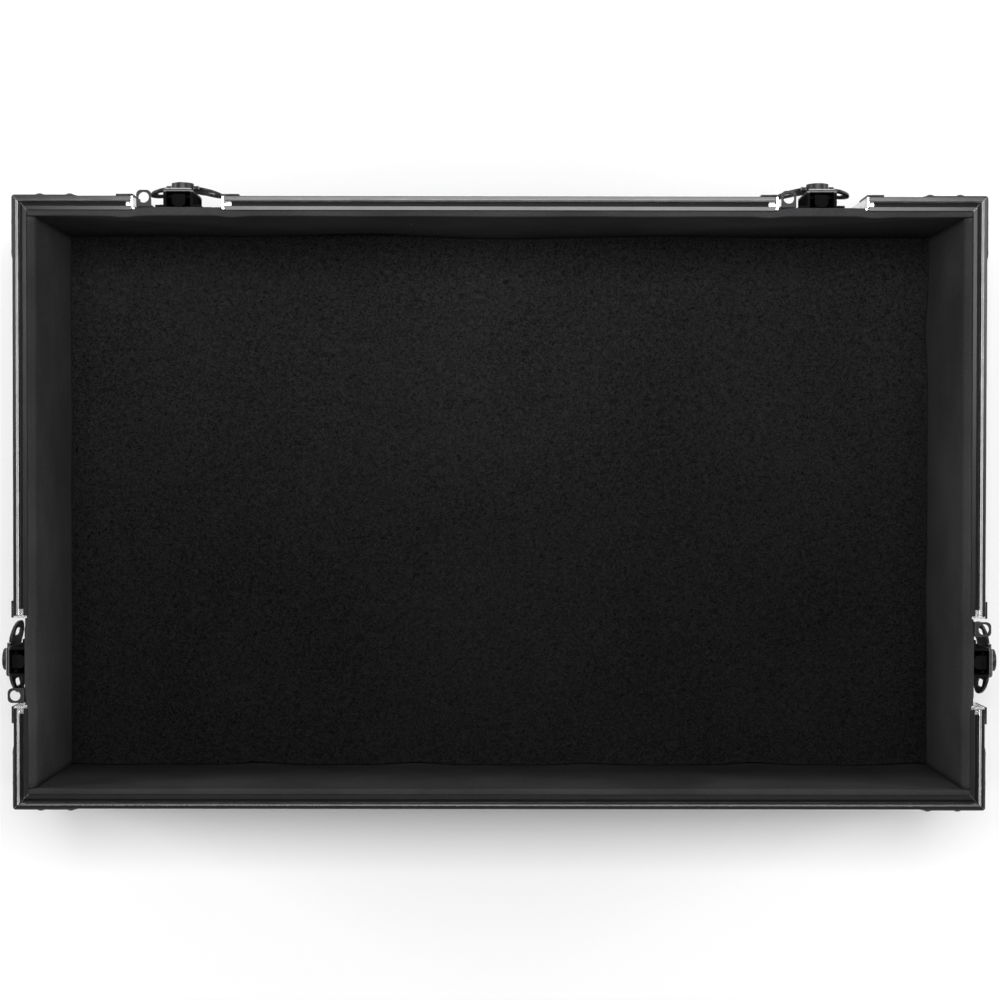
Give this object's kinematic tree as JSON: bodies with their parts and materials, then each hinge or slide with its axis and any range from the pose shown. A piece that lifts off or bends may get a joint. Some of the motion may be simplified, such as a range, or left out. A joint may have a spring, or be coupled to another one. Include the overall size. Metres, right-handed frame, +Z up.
{
  "type": "flight case base",
  "caption": "Open base of a shallow flight case for a DJ controller, with a grooved metal rim, recessed twist latches, foam lining and a felt floor.",
  "frame": {"origin": "middle of the footprint, latches and ball corners included, on the plane the feet stand on", "axes": "+Z up, +X along the case's length, -Y towards the wall with two latches"},
  "size_m": [0.6586, 0.4208, 0.1218],
  "materials": {
    "black_laminate": "plywood with a finely dimpled black laminate outside",
    "black_aluminium": "black anodised extrusion, worn bright along its edges",
    "black_steel": "black coated pressed steel, satin, worn bright at its edges",
    "zinc_steel": "zinc plated steel, dull",
    "black_foam": "closed cell foam sheet, matt",
    "black_felt": "needled felt with a short pile",
    "black_rubber": "matt"
  },
  "bodies": {
    "base": {"back_bottom_edge": "black_aluminium", "back_foam_lining": "black_foam", "back_left_ball_corner": "black_steel", "back_left_upright_edge": "black_aluminium", "back_panel": "black_laminate", "back_right_ball_corner": "black_steel", "back_right_upright_edge": "black_aluminium", "back_rim": "black_aluminium", "bottom_panel": "black_laminate", "case_rivets": "black_steel", "floor_mat": "black_felt", "foot_screws": "zinc_steel", "front_bottom_edge": "black_aluminium", "front_foam_lining": "black_foam", "front_left_ball_corner": "black_steel", "front_left_latch_dish": "black_steel", "front_left_latch_housing": "black_steel", "front_left_upright_edge": "black_aluminium", "front_panel": "black_laminate", "front_right_ball_corner": "black_steel", "front_right_latch_dish": "black_steel", "front_right_latch_housing": "black_steel", "front_right_upright_edge": "black_aluminium", "front_rim_1": "black_aluminium", "front_rim_2": "black_aluminium", "front_rim_3": "black_aluminium", "latch_rivets": "black_steel", "left_bottom_edge": "black_aluminium", "left_foam_lining": "black_foam", "left_latch_dish": "black_steel", "left_latch_housing": "black_steel", "left_panel": "black_laminate", "left_rim_1": "black_aluminium", "left_rim_2": "black_aluminium", "padlock_eyes": "black_steel", "right_bottom_edge": "black_aluminium", "right_foam_lining": "black_foam", "right_latch_dish": "black_steel", "right_latch_housing": "black_steel", "right_panel": "black_laminate", "right_rim_1": "black_aluminium", "right_rim_2": "black_aluminium", "rim_corner_braces": "black_steel", "rubber_feet": "black_rubber"},
    "front_left_latch_turn": {"front_left_latch_spindle": "black_steel", "front_left_latch_lever_pin": "zinc_steel"},
    "front_left_latch_fold": {"front_left_latch_lever": "black_steel"},
    "front_left_latch_claw": {"front_left_latch_claw": "black_steel"},
    "front_right_latch_turn": {"front_right_latch_spindle": "black_steel", "front_right_latch_lever_pin": "zinc_steel"},
    "front_right_latch_fold": {"front_right_latch_lever": "black_steel"},
    "front_right_latch_claw": {"front_right_latch_claw": "black_steel"},
    "right_latch_turn": {"right_latch_spindle": "black_steel", "right_latch_lever_pin": "zinc_steel"},
    "right_latch_fold": {"right_latch_lever": "black_steel"},
    "right_latch_claw": {"right_latch_claw": "black_steel"},
    "left_latch_turn": {"left_latch_spindle": "black_steel", "left_latch_lever_pin": "zinc_steel"},
    "left_latch_fold": {"left_latch_lever": "black_steel"},
    "left_latch_claw": {"left_latch_claw": "black_steel"}
  },
  "joints": [
    {"name": "front_left_latch_twist", "type": "hinge", "parent": "base", "child": "front_left_latch_turn", "pos_m": [-0.21, -0.2039, 0.1018], "axis": [0, -1, 0], "range_deg": [0, 180]},
    {"name": "front_left_latch_lever_fold", "type": "hinge", "parent": "front_left_latch_turn", "child": "front_left_latch_fold", "pos_m": [-0.21, -0.2064, 0.1018], "axis": [-1, 0, 0], "range_deg": [0, 90]},
    {"name": "front_left_latch_claw_lift", "type": "slide", "parent": "base", "child": "front_left_latch_claw", "axis": [0, 0, 1], "range_m": [0, 0.006]},
    {"name": "front_right_latch_twist", "type": "hinge", "parent": "base", "child": "front_right_latch_turn", "pos_m": [0.21, -0.2039, 0.1018], "axis": [0, -1, 0], "range_deg": [0, 180]},
    {"name": "front_right_latch_lever_fold", "type": "hinge", "parent": "front_right_latch_turn", "child": "front_right_latch_fold", "pos_m": [0.21, -0.2064, 0.1018], "axis": [-1, 0, 0], "range_deg": [0, 90]},
    {"name": "front_right_latch_claw_lift", "type": "slide", "parent": "base", "child": "front_right_latch_claw", "axis": [0, 0, 1], "range_m": [0, 0.006]},
    {"name": "right_latch_twist", "type": "hinge", "parent": "base", "child": "right_latch_turn", "pos_m": [0.3228, 0.1054, 0.1018], "axis": [1, 0, 0], "range_deg": [0, 180]},
    {"name": "right_latch_lever_fold", "type": "hinge", "parent": "right_latch_turn", "child": "right_latch_fold", "pos_m": [0.3253, 0.1054, 0.1018], "axis": [0, -1, 0], "range_deg": [0, 90]},
    {"name": "right_latch_claw_lift", "type": "slide", "parent": "base", "child": "right_latch_claw", "axis": [0, 0, 1], "range_m": [0, 0.006]},
    {"name": "left_latch_twist", "type": "hinge", "parent": "base", "child": "left_latch_turn", "pos_m": [-0.3228, 0.1054, 0.1018], "axis": [-1, 0, 0], "range_deg": [0, 180]},
    {"name": "left_latch_lever_fold", "type": "hinge", "parent": "left_latch_turn", "child": "left_latch_fold", "pos_m": [-0.3253, 0.1054, 0.1018], "axis": [0, 1, 0], "range_deg": [0, 90]},
    {"name": "left_latch_claw_lift", "type": "slide", "parent": "base", "child": "left_latch_claw", "axis": [0, 0, 1], "range_m": [0, 0.006]}
  ],
  "couplings": [
    {"joint": "front_left_latch_claw_lift", "follows": "front_left_latch_twist", "m_per_rad": 0.0019098},
    {"joint": "front_right_latch_claw_lift", "follows": "front_right_latch_twist", "m_per_rad": 0.0019098},
    {"joint": "right_latch_claw_lift", "follows": "right_latch_twist", "m_per_rad": 0.0019098},
    {"joint": "left_latch_claw_lift", "follows": "left_latch_twist", "m_per_rad": 0.0019098}
  ]
}
